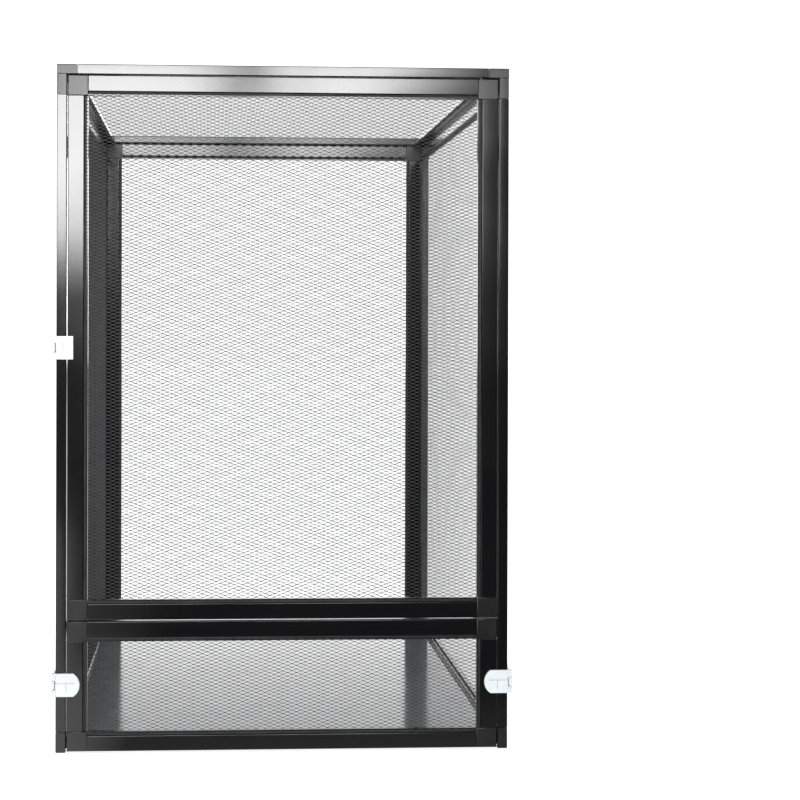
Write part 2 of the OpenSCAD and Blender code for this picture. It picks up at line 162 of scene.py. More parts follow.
def blend(tree: Tree, factor: Socket, first: str, second: str) -> Socket:
    """Mixes two colours.

    Args:
        tree: The node tree.
        factor: The share of the second colour.
        first: The first colour, as "#rrggbb".
        second: The second colour.

    Returns:
        The mixed colour.
    """
    inputs = {"Factor": factor, 6: linear(first), 7: linear(second)}
    return node(tree, "ShaderNodeMix", inputs, data_type="RGBA").outputs[2]


def maths(tree: Tree, operation: str, *values: Socket | float) -> Socket:
    """Adds a sum.

    Args:
        tree: The node tree.
        operation: Blender's name for the sum.
        values: Its inputs in order.

    Returns:
        The result.
    """
    return node(tree, "ShaderNodeMath", dict(enumerate(values)), operation=operation).outputs[0]


@dataclass(frozen=True)
class Ramp:
    """A change from one level to another between two values, and level beyond them."""

    start: float = 0.0
    end: float = 1.0
    low: float = 0.0
    high: float = 1.0

    def raised(self, by: float) -> Ramp:
        """Gives the same ramp with both levels raised."""
        return Ramp(self.start, self.end, self.low + by, self.high + by)

    def of(self, tree: Tree, value: Socket, **settings: object) -> Socket:
        """Adds the ramp to a node tree.

        Args:
            tree: The node tree.
            value: What it follows.
            settings: Properties of the node.

        Returns:
            The level.
        """
        span = {"From Min": self.start, "From Max": self.end, "To Min": self.low, "To Max": self.high}
        return node(tree, "ShaderNodeMapRange", {"Value": value, **span}, **settings).outputs[0]


@dataclass(frozen=True)
class Finish:
    """A plain finish, which the finishes below give their own surface."""

    name: str
    colour: str
    roughness: float
    ior: float = 1.5
    metallic: float = 0.0
    sheen: Ramp = Ramp(high=0.0)

    def surface(self, tree: Tree, place: Socket) -> dict[str, Socket]:
        """Gives the finish's own patterns, by the shader's inputs; the plain finish has none."""
        return {}

    def rough(self, tree: Tree, pattern: Socket) -> Socket:
        """Gives the roughness, as it changes with a pattern."""
        return self.sheen.raised(self.roughness).of(tree, pattern)

    def material(self) -> bpy.types.Material:
        """Makes the material once, and gives the same one after that.

        Returns:
            The material.
        """
        made = bpy.data.materials.get(self.name)
        if made is not None:
            return made
        made = bpy.data.materials.new(self.name)
        made.use_nodes = True
        made.diffuse_color = linear(self.colour)
        tree = made.node_tree
        shader = tree.nodes["Principled BSDF"]
        shader.inputs["Base Color"].default_value = linear(self.colour)
        shader.inputs["Roughness"].default_value = self.roughness
        shader.inputs["IOR"].default_value = self.ior
        shader.inputs["Metallic"].default_value = self.metallic
        self.constants(shader)
        place = node(tree, "ShaderNodeTexCoord").outputs["Object"]
        for key, pattern in self.surface(tree, place).items():
            tree.links.new(pattern, shader.inputs[key])
        return made

    def constants(self, shader: Node) -> None:
        """Sets the shader's other plain values; the plain finish has none."""


@dataclass(frozen=True)
class AnodisedExtrusion(Finish):
    """Black anodised aluminium, drawn through a die: glossy, with faint lines along its length.

    The peel of the dyed oxide is finer than a pixel, so it is drawn at 4 mm, where it shows as a soft waver.
    """

    sheen: Ramp = Ramp(0.3, 0.7, -0.025, 0.03)
    along: Axis = Axis.Z
    dark: str = "#060607"
    line_mm: float = 1.3
    run_mm: float = 260.0
    line_bump: float = 0.06
    line_depth: float = 0.1 * MM
    peel_mm: float = 4.0
    peel_bump: float = 0.05
    peel_depth: float = 0.2 * MM
    handling_mm: float = 70.0

    def surface(self, tree: Tree, place: Socket) -> dict[str, Socket]:
        """Adds die lines and a slow change of sheen.

        Args:
            tree: The material's nodes.
            place: Object coordinates.

        Returns:
            The patterns, by the shader's inputs.
        """
        across = 1 / (self.line_mm * MM)
        scale = [1 / (self.run_mm * MM) if axis is self.along else across for axis in Axis]
        stretched = node(tree, "ShaderNodeMapping", {"Vector": place, "Scale": scale})
        lines = noise(tree, stretched.outputs[0], 2.0)
        peel = noise(tree, place, 3.0, self.peel_mm)
        handling = noise(tree, place, 4.0, self.handling_mm)
        drawn = bump(tree, lines, self.line_bump, self.line_depth)
        return {
            "Roughness": self.rough(tree, handling),
            "Base Color": blend(tree, lines, self.dark, self.colour),
            "Normal": bump(tree, peel, self.peel_bump, self.peel_depth, drawn),
        }


@dataclass(frozen=True)
class FineGrain(Finish):
    """A black surface with an even fine grain that spreads the light, and a little pale dust."""

    sheen: Ramp = Ramp(low=-0.08, high=0.08)
    grain_mm: float = 0.9
    grain_bump: float = 0.25
    grain_depth: float = 0.15 * MM
    dust: float = 0.35
    dust_mm: float = 18.0
    dust_colour: str = "#3a3a3b"

    def surface(self, tree: Tree, place: Socket) -> dict[str, Socket]:
        """Adds the grain and the dust.

        Args:
            tree: The material's nodes.
            place: Object coordinates.

        Returns:
            The patterns, by the shader's inputs.
        """
        grain = noise(tree, place, 2.0, self.grain_mm)
        dust = Ramp(0.4, 0.75, 0.0, self.dust).of(tree, noise(tree, place, 6.0, self.dust_mm))
        return {
            "Base Color": blend(tree, dust, self.colour, self.dust_colour),
            "Roughness": self.rough(tree, grain),
            "Normal": bump(tree, grain, self.grain_bump, self.grain_depth),
        }


@dataclass(frozen=True)
class GlossSheet(Finish):
    """Dark grey PVC sheet, calendered: a mirror-like face with a slow waver and a few hairline scuffs."""

    sheen: Ramp = Ramp(0.5, 0.8, 0.0, 0.12)
    waver_mm: float = 45.0
    waver_bump: float = 0.03
    waver_depth: float = 0.6 * MM
    scuff_w_mm: float = 2.0
    scuff_run_mm: float = 90.0
    scuff_turn: float = 0.6

    def surface(self, tree: Tree, place: Socket) -> dict[str, Socket]:
        """Adds the waver and the scuffs.

        Args:
            tree: The material's nodes.
            place: Object coordinates.

        Returns:
            The patterns, by the shader's inputs.
        """
        scale = (1 / (self.scuff_w_mm * MM), 1 / (self.scuff_run_mm * MM), 1.0)
        stretched = node(
            tree, "ShaderNodeMapping",
            {"Vector": place, "Rotation": (0.0, 0.0, self.scuff_turn), "Scale": scale},
        )
        waver = noise(tree, place, 1.0, self.waver_mm)
        return {
            "Roughness": self.rough(tree, noise(tree, stretched.outputs[0], 3.0)),
            "Normal": bump(tree, waver, self.waver_bump, self.waver_depth),
        }


@dataclass(frozen=True)
class MilkyPolypropylene(Finish):
    """Milky polypropylene, moulded and polished: light goes a little way in, so thin edges glow."""

    sheen: Ramp = Ramp(low=-0.06, high=0.1)
    depth_mm: float = 1.5
    depth_share: float = 0.12
    flow_mm: float = 9.0
    flow_colour: str = "#c0c5c8"

    def constants(self, shader: Node) -> None:
        """Sets how far the light goes in."""
        shader.inputs["Subsurface Weight"].default_value = self.depth_share
        shader.inputs["Subsurface Radius"].default_value = (1.0, 1.0, 1.0)
        shader.inputs["Subsurface Scale"].default_value = self.depth_mm * MM

    def surface(self, tree: Tree, place: Socket) -> dict[str, Socket]:
        """Adds the faint flow lines of the moulding.

        Args:
            tree: The material's nodes.
            place: Object coordinates.

        Returns:
            The patterns, by the shader's inputs.
        """
        flow = noise(tree, place, 3.0, self.flow_mm)
        return {
            "Base Color": blend(tree, flow, self.flow_colour, self.colour),
            "Roughness": self.rough(tree, flow),
        }


@dataclass(frozen=True)
class ZincPlate(Finish):
    """Zinc-plated steel: pale grey metal with a fine crystal mottle."""

    sheen: Ramp = Ramp(low=-0.06, high=0.12)
    crystal_mm: float = 1.6
    crystal_colour: str = "#9b9ea1"

    def surface(self, tree: Tree, place: Socket) -> dict[str, Socket]:
        """Adds the crystals of the plating.

        Args:
            tree: The material's nodes.
            place: Object coordinates.

        Returns:
            The patterns, by the shader's inputs.
        """
        cells = node(tree, "ShaderNodeTexVoronoi", {"Vector": place, "Scale": 1 / (self.crystal_mm * MM)})
        crystal = cells.outputs["Distance"]
        return {
            "Base Color": blend(tree, crystal, self.colour, self.crystal_colour),
            "Roughness": self.rough(tree, crystal),
        }


RAIL = {
    axis: AnodisedExtrusion(f"anodised_extrusion_{axis.name.lower()}", "#0e0e10", 0.16, along=axis)
    for axis in Axis
}
# The corner pieces have the grain of a spark-eroded mould, the strips a vinyl skin and the nets a thin coat.
CORNER = FineGrain("moulded_abs", "#0d0d0e", 0.36, dust=0.12)
SPLINE = FineGrain("vinyl_spline", "#0b0b0c", 0.6, grain_mm=1.4, grain_bump=0.15)
NET = FineGrain("coated_expanded_metal", "#29292b", 0.6, ior=1.4, grain_mm=2.5, grain_bump=0.1)
SHEET = GlossSheet("calendered_pvc_sheet", "#66676a", 0.1)
LATCH = MilkyPolypropylene("milky_polypropylene", "#cdd1d3", 0.24, ior=1.49)
ZINC = ZincPlate("zinc_plate", "#c9cbcd", 0.32, metallic=1.0)
ENDINGS = {"_corners": CORNER, "_sheet": SHEET, "_mesh": NET, "_spline": SPLINE}


def longest(name: str) -> Axis:
    """Gives the axis that a node is longest along."""
    low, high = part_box(name)
    size = high - low
    return max(Axis, key=lambda axis: size[axis.value])


def finish_of(name: str) -> Finish:
    """Gives a node's finish.

    Args:
        name: The node.

    Returns:
        Its finish.
    """
    if name.endswith(("_rail", "_stile")):
        return RAIL[longest(name)]
    for ending, finish in ENDINGS.items():
        if name.endswith(ending):
            return finish
    return LATCH if "latch" in name else ZINC


def piece(
    name: str, bm: Shape, finish: Finish, body: str, slot: str, *nodes: str, crease: float = 32.0
) -> bpy.types.Object:
    """Makes an object of a finished bmesh, and seats it on its body.

    Args:
        name: The piece's name.
        bm: Its shape, in the row frame; it is freed.
        finish: Its finish.
        body: The body that it rides on.
        slot: The record's material slot; not used.
        nodes: Nodes that it stands for.
        crease: The turn, in degrees, from which an edge is sharp.

    Returns:
        The new object.
    """
    bmesh.ops.recalc_face_normals(bm, faces=bm.faces)
    for face in bm.faces:
        face.smooth = True
    for edge in bm.edges:
        edge.smooth = edge.calc_face_angle(0) < math.radians(crease)
    mesh = bpy.data.meshes.new(name)
    bm.to_mesh(mesh)
    bm.free()
    made = bpy.data.objects.new(name, mesh)
    bpy.context.scene.collection.objects.link(made)
    mesh.materials.append(finish.material())
    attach(made, body)
    if nodes:
        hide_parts(*nodes)
    LOG.info("%s: %d faces on %s", name, len(mesh.polygons), body)
    return made


def rounded(bm: Shape, edges: list, radius: float, segments: int) -> None:
    """Rounds edges.

    Args:
        bm: The mesh that they are in.
        edges: The edges.
        radius: The radius, in metres.
        segments: Steps in each rounded edge.
    """
    bmesh.ops.bevel(
        bm, geom=edges, offset=radius, segments=segments, profile=0.5, affect="EDGES", material=-1
    )


def block(bm: Shape, low: Vector, high: Vector, edge: float = 0.0, segments: int = 2) -> None:
    """Adds a block between two corners, with its edges rounded.

    Args:
        bm: The mesh that it goes into.
        low: Its lowest corner, in metres.
        high: Its highest corner.
        edge: The radius of its edges, in metres.
        segments: Steps in each rounded edge.
    """
    place = Matrix.Translation((low + high) / 2) @ Matrix.Diagonal((high - low).to_4d())
    made = bmesh.ops.create_cube(bm, size=1.0, matrix=place)["verts"]
    if edge > 0:
        rounded(bm, list({e for v in made for e in v.link_edges}), edge, segments)


def carved(body: Shape, tool: Shape) -> Shape:
    """Cuts one shape out of another.

    Args:
        body: The shape that is cut; it is freed.
        tool: The shape that is taken away; it is freed.

    Returns:
        What is left, as a new mesh.
    """
    solids = []
    for label, bm in (("carved_body", body), ("carving_tool", tool)):
        bmesh.ops.recalc_face_normals(bm, faces=bm.faces)
        mesh = bpy.data.meshes.new(label)
        bm.to_mesh(mesh)
        bm.free()
        made = bpy.data.objects.new(label, mesh)
        bpy.context.scene.collection.objects.link(made)
        solids.append(made)
    cut = solids[0].modifiers.new("cut", "BOOLEAN")
    cut.object = solids[1]
    cut.operation = "DIFFERENCE"
    cut.solver = "EXACT"
    cut.use_self = True
    bpy.context.view_layer.update()
    shaped = bpy.data.meshes.new_from_object(
        solids[0].evaluated_get(bpy.context.evaluated_depsgraph_get())
    )
    result = bmesh.new()
    result.from_mesh(shaped)
    bpy.data.meshes.remove(shaped)
    for made in solids:
        mesh = made.data
        bpy.data.objects.remove(made)
        bpy.data.meshes.remove(mesh)
    return result


def turned(bm: Shape, verts: list, centre: tuple, axis: tuple, steps: int) -> None:
    """Turns a line of points once round an axis.

    Args:
        bm: The mesh that the points are in.
        verts: The points, in order.
        centre: A point on the axis.
        axis: The axis.
        steps: Steps in the full turn.
    """
    edges = [bm.edges.new(pair) for pair in zip(verts, verts[1:])]
    bmesh.ops.spin(
        bm, geom=[*verts, *edges], cent=centre, axis=axis, angle=math.tau, steps=steps, use_merge=True
    )


@dataclass(frozen=True)
class Gauge:
    """The widths of a net's strands, and the size of the bonds where they meet."""

    strand_w: float
    bond_w: float
    bond_h: float


class Weave(Enum):
    """How stout a net is drawn, set by how bright its panels look in the photograph and not measured."""

    SLIGHT = Gauge(0.27 * MM, 2.3 * MM, 0.72 * MM)
    PLAIN = Gauge(0.33 * MM, 2.7 * MM, 0.88 * MM)
    STOUT = Gauge(0.4 * MM, 3.1 * MM, 1.0 * MM)
    STOUTEST = Gauge(0.5 * MM, 3.1 * MM, 1.0 * MM)


@dataclass
class NetPanel:
    """The net of one panel, as expanded metal: strands that cross in low bonds, and a hem in the groove.

    The strands can lie turned like louvres, all one way, so a net that is open from one side looks closed
    from the other.
    """

    panel: str
    body: str
    across: Axis
    up: Axis
    facing: int
    weave: Weave
    louvre_deg: float = 0.0
    diamond_w: float = 8.8 * MM
    diamond_h: float = 3.5 * MM
    strand_t: float = 0.04 * MM
    strand_depth: float = 0.5 * MM
    layer_gap: float = 0.05 * MM
    bond_t: float = 0.12 * MM
    hem_t: float = 0.4 * MM
    hem_depth: float = 3.0 * MM
    hem_corner: float = 2.2 * MM

    def placement(self) -> tuple[Matrix, float, float]:
        """Works out where the net lies, from the node that it stands for.

        Returns:
            The matrix from the net's own plane, with its face at 0 and its inside below, and the net's width
            and height.
        """
        low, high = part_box(f"{self.panel}_mesh")
        depth = next(axis for axis in Axis if axis not in (self.across, self.up))
        centre = (low + high) / 2
        centre[depth.value] = (high if self.facing > 0 else low)[depth.value]
        size = high - low
        turn = Matrix((self.across.vector, self.up.vector, self.facing * depth.vector)).transposed().to_4x4()
        width = size[self.across.value] - self.hem_t
        height = size[self.up.value] - self.hem_t
        return Matrix.Translation(centre) @ turn, width, height

    def louvre(self) -> Matrix:
        """Gives the turn of a strand about its own length."""
        return Matrix.Rotation(math.radians(self.louvre_deg), 4, "X")

    def strand(self, bm: Shape, start: Vector, end: Vector, depth: float) -> None:
        """Adds one straight strand, turned about its own length.

        Args:
            bm: The mesh that it goes into, in the net's plane.
            start: Where it starts.
            end: Where it ends.
            depth: The depth of its middle below the net's face.
        """
        run = end - start
        middle = (start + end) / 2
        lie = (
            Matrix.Translation((middle.x, middle.y, -depth))
            @ Matrix.Rotation(math.atan2(run.y, run.x), 4, "Z")
            @ self.louvre()
            @ Matrix.Diagonal((run.length, self.weave.value.strand_w, self.strand_t, 1.0))
        )
        bmesh.ops.create_cube(bm, size=1.0, matrix=lie)

    def bonds(self, first: Vector, step: Vector, columns: int, rows: int) -> bpy.types.Mesh:
        """Makes one lattice of bonds, each a low-crowned lozenge where two strands meet.

        Args:
            first: The first bond's place.
            step: The spacing across and up.
            columns: The number across.
            rows: The number up.

        Returns:
            The bonds' mesh.
        """
        bm = bmesh.new()
        lie = (
            Matrix.Translation((first.x, first.y, -self.strand_depth - self.layer_gap / 2))
            @ self.louvre()
            @ Matrix.Diagonal((self.weave.value.bond_w, self.weave.value.bond_h, self.bond_t, 1.0))
        )
        bmesh.ops.create_uvsphere(bm, u_segments=4, v_segments=2, radius=0.5, matrix=lie)
        for move, count in ((Vector((step.x, 0, 0)), columns), (Vector((0, step.y, 0)), rows)):
            bmesh.ops.spin(
                bm, geom=[*bm.verts, *bm.edges, *bm.faces], cent=(0, 0, 0), axis=(0, 0, 1), dvec=move,
                angle=0, steps=count - 1, use_duplicate=True,
            )
        made = bpy.data.meshes.new("bonds")
        bm.to_mesh(made)
        bm.free()
        return made

    def hem(self, bm: Shape, width: float, height: float) -> None:
        """Adds the four folded edges that lie in the groove.

        Args:
            bm: The mesh that they go into, in the net's plane.
            width: The net's width.
            height: The net's height.
        """
        for turn, length, reach in ((0, width, height), (math.pi / 2, height, width)):
            for side in (-1, 1):
                lie = (
                    Matrix.Rotation(turn, 4, "Z")
                    @ Matrix.Translation((0, side * reach / 2, -self.strand_depth - self.hem_depth / 2))
                    @ Matrix.Diagonal((length - 2 * self.hem_corner, self.hem_t, self.hem_depth, 1.0))
                )
                bmesh.ops.create_cube(bm, size=1.0, matrix=lie)

    def build(self) -> bpy.types.Object:
        """Builds the net in place of its node.

        Returns:
            The net.
        """
        place, width, height = self.placement()
        columns = round(width / self.diamond_w)
        rows = round(height / self.diamond_h)
        step = Vector((width / columns, height / rows))
        corner = Vector((-width / 2, -height / 2))
        mirror = Vector((-1, 1))
        bm = bmesh.new()
        for number in range(1 - columns, rows):
            first = max(0, -number)
            last = min(columns, rows - number)
            start = corner + Vector((first * step.x, (first + number) * step.y))
            end = corner + Vector((last * step.x, (last + number) * step.y))
            self.strand(bm, start, end, self.strand_depth)
            self.strand(bm, end * mirror, start * mirror, self.strand_depth + self.layer_gap)
        for inset in (0, 1):
            field = self.bonds(corner + step * (1 + inset) / 2, step, columns - inset, rows - inset)
            bm.from_mesh(field)
            bpy.data.meshes.remove(field)
        self.hem(bm, width, height)
        bmesh.ops.transform(bm, matrix=place, verts=bm.verts)
        return piece(f"{self.panel}_net", bm, NET, self.body, "mesh", f"{self.panel}_mesh")


@dataclass
class SplineSet:
    """The vinyl strips that hold one net in its grooves, with their tops rounded."""

    panel: str
    body: str
    width: float = 1.9 * MM
    corner: float = 4.0 * MM
    crown: float = 0.75 * MM
    crown_steps: int = 3

    def build(self) -> bpy.types.Object:
        """Builds the four strips in place of their node.

        Returns:
            The strips.
        """
        low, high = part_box(f"{self.panel}_spline")
        size = high - low
        depth = min(Axis, key=lambda axis: size[axis.value])
        run, rise = (axis for axis in Axis if axis is not depth)
        bm = bmesh.new()
        for along, across in ((run, rise), (rise, run)):
            for at_high in (False, True):
                start, end = low.copy(), high.copy()
                start[along.value] += self.corner
                end[along.value] -= self.corner
                if at_high:
                    start[across.value] = high[across.value] - self.width
                else:
                    end[across.value] = low[across.value] + self.width
                block(bm, start, end, self.crown, self.crown_steps)
        return piece(f"{self.panel}_spline_strips", bm, SPLINE, self.body, "spline", f"{self.panel}_spline")


@dataclass
class Latch:
    """A milky latch: a plate on the door's stile, and a flap that turns round the corner of the cage.

    Both are shaped as if on the left, and a right one is mirrored at the end.
    """

    name: str
    door: str
    side: Side
    round_end: float
    slot_rise: float
    barrel_r: float = 2.0 * MM
    pin_r: float = 0.9 * MM
    rim: float = 0.2 * MM
    barrel_steps: int = 32
    plate_t: float = 2.0 * MM
    edge: float = 0.45 * MM
    edge_steps: int = 3
    edge_deg: float = 30.0
    arc_steps: int = 18
    gap: float = 0.6 * MM
    knuckle_share: float = 0.36
    strap_lap: float = 1.0 * MM
    strap_edge: float = 0.3 * MM
    slot_h: float = 2.8 * MM
    slot_depth: float = 1.3 * MM
    slot_end: float = 0.22
    stem_at: float = 0.45
    stem_half: float = 0.4 * MM
    stem_reach: float = 3.2
    stem_sink: float = 0.1 * MM
    pad_start: float = 0.8 * MM
    pad_end: float = 2.4 * MM
    pad_lap: float = 0.5 * MM
    pad_edge: float = 0.15 * MM
    lip_t: float = 1.4 * MM
    lip_edge: float = 0.35 * MM
    ribs: int = 4
    rib_start: float = 3.2 * MM
    rib_pitch: float = 2.1 * MM
    rib_w: float = 0.9 * MM
    rib_h: float = 0.5 * MM
    rib_lap: float = 0.6 * MM
    rib_inset: float = 3.0 * MM
    rib_edge: float = 0.25 * MM

    def frame_box(self, name: str) -> tuple[Vector, Vector]:
        """Gives a node's box as if the latch were on the left.

        Args:
            name: The node.

        Returns:
            Its lowest and highest corners.
        """
        low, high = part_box(name)
        if self.side is Side.RIGHT:
            low.x, high.x = -high.x, -low.x
        return low, high

    def done(self, name: str, bm: Shape, body: str) -> bpy.types.Object:
        """Puts a shape on its own side of the cage and finishes it.

        Args:
            name: The piece's name, which is that of the node that it stands for.
            bm: Its shape, as if on the left.
            body: The body that it rides on.

        Returns:
            The piece.
        """
        if self.side is Side.RIGHT:
            bmesh.ops.transform(bm, matrix=Matrix.Diagonal((self.side.value, 1, 1, 1)), verts=bm.verts)
        return piece(name, bm, LATCH, body, "latch", name)

    def knuckle(self, bm: Shape, axis: Vector, low: float, high: float, radius: float) -> None:
        """Adds a knuckle or a pin, with its rims eased.

        Args:
            bm: The mesh that it goes into.
            axis: A point on the hinge's axis.
            low: Its lower end.
            high: Its upper end.
            radius: Its radius.
        """
        place = Matrix.Translation((axis.x, axis.y, (low + high) / 2))
        made = bmesh.ops.create_cone(
            bm, cap_ends=True, segments=self.barrel_steps, radius1=radius, radius2=radius, depth=high - low,
            matrix=place,
        )["verts"]
        edges = {e for v in made for e in v.link_edges}
        rims = [e for e in edges if abs(e.verts[0].co.z - e.verts[1].co.z) < LEVEL]
        rounded(bm, rims, self.rim, 2)

    def plate(self, bm: Shape, low: Vector, high: Vector) -> None:
        """Adds the plate on the door, with a round or square inner end.

        Args:
            bm: The mesh that it goes into.
            low: The plate's lowest corner.
            high: Its highest corner.
        """
        half = (high.z - low.z) / 2
        middle = (high.z + low.z) / 2
        if self.round_end:
            centre = Vector((high.x - self.round_end, low.y, middle))
            reach = math.asin(half / self.round_end)
            start = centre + Vector((self.round_end * math.cos(reach), 0, -half))
            bmesh.ops.spin(
                bm, geom=[bm.verts.new(start)], cent=centre, axis=(0, -1, 0), angle=2 * reach,
                steps=self.arc_steps,
            )
            rim = [v for v in bm.verts if abs(v.co.y - low.y) < LEVEL and v.is_wire]
            rim.sort(key=lambda v: v.co.z)
        else:
            rim = [bm.verts.new((high.x, low.y, low.z)), bm.verts.new((high.x, low.y, high.z))]
        outline = [*rim, bm.verts.new((low.x, low.y, high.z)), bm.verts.new((low.x, low.y, low.z))]
        face = bm.faces.new(outline)
        raised = bmesh.ops.extrude_face_region(bm, geom=[face])["geom"]
        back = [v for v in raised if isinstance(v, bmesh.types.BMVert)]
        bmesh.ops.translate(bm, vec=(0, high.y - low.y, 0), verts=back)
        shell = {f for v in outline + back for f in v.link_faces}
        edges = [
            e for e in {e for f in shell for e in f.edges}
            if len(e.link_faces) == 2 and e.calc_face_angle(0) > math.radians(self.edge_deg)
        ]
        rounded(bm, edges, self.edge, self.edge_steps)

    def relief(self, low: Vector, high: Vector) -> Shape:
        """Makes the tool for the plate's pressed slot: a long bar, and a short stem across it.

        Args:
            low: The plate's lowest corner.
            high: Its highest corner.

        Returns:
            The tool.
        """
        tool = bmesh.new()
        middle = (low.z + high.z) / 2 + self.slot_rise
        stem = low.x + self.stem_at * (high.x - low.x)
        inner = high.x - self.slot_end * (high.x - low.x)
        face = low.y - self.slot_depth
        floor = low.y + self.slot_depth
        block(
            tool, Vector((low.x - self.gap, face, middle - self.slot_h / 2)),
            Vector((inner, floor, middle + self.slot_h / 2)),
        )
        reach = self.stem_reach * self.slot_h * (-1 if self.slot_rise > 0 else 1)
        bottom, top = sorted((middle, middle + reach))
        block(
            tool, Vector((stem - self.stem_half, face, bottom)),
            Vector((stem + self.stem_half, floor + self.stem_sink, top)),
        )
        return tool

    def build_base(self) -> bpy.types.Object:
        """Builds the plate, its pad and its two knuckles.

        Returns:
            The base.
        """
        name = f"{self.name}_base"
        low, high = self.frame_box(name)
        axis = Vector((low.x + self.barrel_r, low.y + self.barrel_r, 0))
        middle = (low.z + high.z) / 2
        open_half = (high.z - low.z) * self.knuckle_share / 2 + self.gap
        clear_x = axis.x + self.barrel_r + self.gap
        back_y = low.y + self.plate_t
        ends = Vector((clear_x, low.y, low.z)), Vector((high.x, back_y, high.z))
        bm = bmesh.new()
        self.plate(bm, *ends)
        bm = carved(bm, self.relief(*ends))
        stile = self.frame_box(f"{self.door}_{self.side.name.lower()}_stile")[0]
        block(
            bm,
            Vector((stile.x + self.pad_start, back_y - self.pad_lap, middle - open_half)),
            Vector((high.x - self.pad_end, stile.y, middle + open_half)),
            self.pad_edge,
        )
        for start, end in ((low.z, middle - open_half), (middle + open_half, high.z)):
            self.knuckle(bm, axis, start, end, self.barrel_r)
            block(
                bm, Vector((axis.x, low.y, start)), Vector((clear_x + self.strap_lap, back_y, end)),
                self.strap_edge,
            )
        return self.done(name, bm, self.door)

    def build_flap(self) -> bpy.types.Object:
        """Builds the flap with its knuckle, pin, finger lip and grip ribs.

        Returns:
            The flap.
        """
        name = f"{self.name}_flap"
        low, high = self.frame_box(name)
        axis = Vector((high.x - self.plate_t, low.y + self.barrel_r, 0))
        middle = (low.z + high.z) / 2
        half = (high.z - low.z) * self.knuckle_share / 2
        start = axis.y + self.barrel_r + self.gap
        bm = bmesh.new()
        self.knuckle(bm, axis, low.z, high.z, self.pin_r)
        self.knuckle(bm, axis, middle - half, middle + half, self.barrel_r)
        block(bm, Vector((axis.x, start, low.z)), high, self.edge, self.edge_steps)
        block(
            bm, Vector((axis.x, axis.y, middle - half)),
            Vector((high.x, start + self.strap_lap, middle + half)), self.strap_edge,
        )
        block(bm, Vector((low.x, high.y - self.lip_t, low.z)), high, self.lip_edge, self.edge_steps)
        for rib in range(self.ribs):
            at = start + self.rib_start + self.rib_pitch * rib
            block(
                bm, Vector((axis.x - self.rib_h, at, low.z + self.rib_inset)),
                Vector((axis.x + self.rib_lap, at + self.rib_w, high.z - self.rib_inset)), self.rib_edge,
            )
        return self.done(name, bm, self.name)


@dataclass
class ScrewSet:
    """The countersunk panel screws, each with a cross recess."""

    head_d: float = 6.4 * MM
    head_rim_w: float = 0.25 * MM
    head_rim_h: float = 0.2 * MM
    shank_d: float = 3.5 * MM
    length: float = 22.0 * MM
    tip: float = 3.0 * MM
    steps: int = 32
    recess_d: float = 3.4 * MM
    recess_w: float = 0.95 * MM
    recess_depth: float = 1.7 * MM
    recess_taper: float = 0.45
    upper_drop: float = 0.75

    def one(self) -> bpy.types.Mesh:
        """Makes one screw along Z, with its head's face at 0.

        Returns:
            The screw's mesh.
        """
        bm = bmesh.new()
        head_h = (self.head_d - self.shank_d) / 2
        outline = [
            (0.0, 0.0), (self.head_d / 2 - self.head_rim_w, 0.0), (self.head_d / 2, -self.head_rim_h),
            (self.shank_d / 2, -head_h - self.head_rim_h), (self.shank_d / 2, -self.length + self.tip),
            (0.0, -self.length),
        ]
        turned(bm, [bm.verts.new((x, 0, z)) for x, z in outline], (0, 0, 0), (0, 0, 1), self.steps)
        bmesh.ops.remove_doubles(bm, verts=bm.verts, dist=WELD)
        bmesh.ops.recalc_face_normals(bm, faces=bm.faces)
        cutter = bmesh.new()
        for x, y in ((self.recess_d, self.recess_w), (self.recess_w, self.recess_d)):
            made = bmesh.ops.create_cube(
                cutter, size=1.0, matrix=Matrix.Diagonal((x, y, 2 * self.recess_depth, 1.0))
            )["verts"]
            foot = [v for v in made if v.co.z < 0]
            bmesh.ops.scale(cutter, vec=(self.recess_taper, self.recess_taper, 1.0), verts=foot)
        screw = carved(bm, cutter)
        made = bpy.data.meshes.new("screw")
        screw.to_mesh(made)
        screw.free()
        return made

    def places(self) -> list[Matrix]:
        """Gives each screw's place: down through the top, and in through the sides.

        Returns:
            The matrices from the one screw.
        """
        top_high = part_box("top_corners")[1]
        side_low, side_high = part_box("left_corners")
        back_low, back_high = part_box("back_corners")
        floor_low, floor_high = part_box("floor_corners")
        thick = back_high.y - back_low.y
        block_w = top_high.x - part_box("top_front_rail")[1].x
        found = [
            Matrix.Translation((x * (top_high.x - thick / 2), y * (top_high.y - block_w / 2), top_high.z))
            for x in (-1, 1) for y in (-1, 1)
        ]
        spots = [
            (back_low.y + thick / 2, side_low.z + block_w / 2),
            (back_low.y + thick / 2, side_high.z - block_w * self.upper_drop),
            ((floor_low.y + side_low.y + block_w) / 2, floor_low.z + thick / 2),
            (floor_high.y - thick / 2, floor_low.z + thick / 2),
        ]
        for y, z in spots:
            for sign in (-1, 1):
                turn = Matrix.Rotation(sign * math.pi / 2, 4, "Y")
                found.append(Matrix.Translation((sign * top_high.x, y, z)) @ turn)
        return found

    def build(self) -> bpy.types.Object:
        """Builds all the screws in place of their node.

        Returns:
            The screws.
        """
        one = self.one()
        bm = bmesh.new()
        for place in self.places():
            before = set(bm.verts)
            bm.from_mesh(one)
            bmesh.ops.transform(bm, matrix=place, verts=[v for v in bm.verts if v not in before])
        return piece("screws", bm, ZINC, "cage", "steel", "panel_screws")


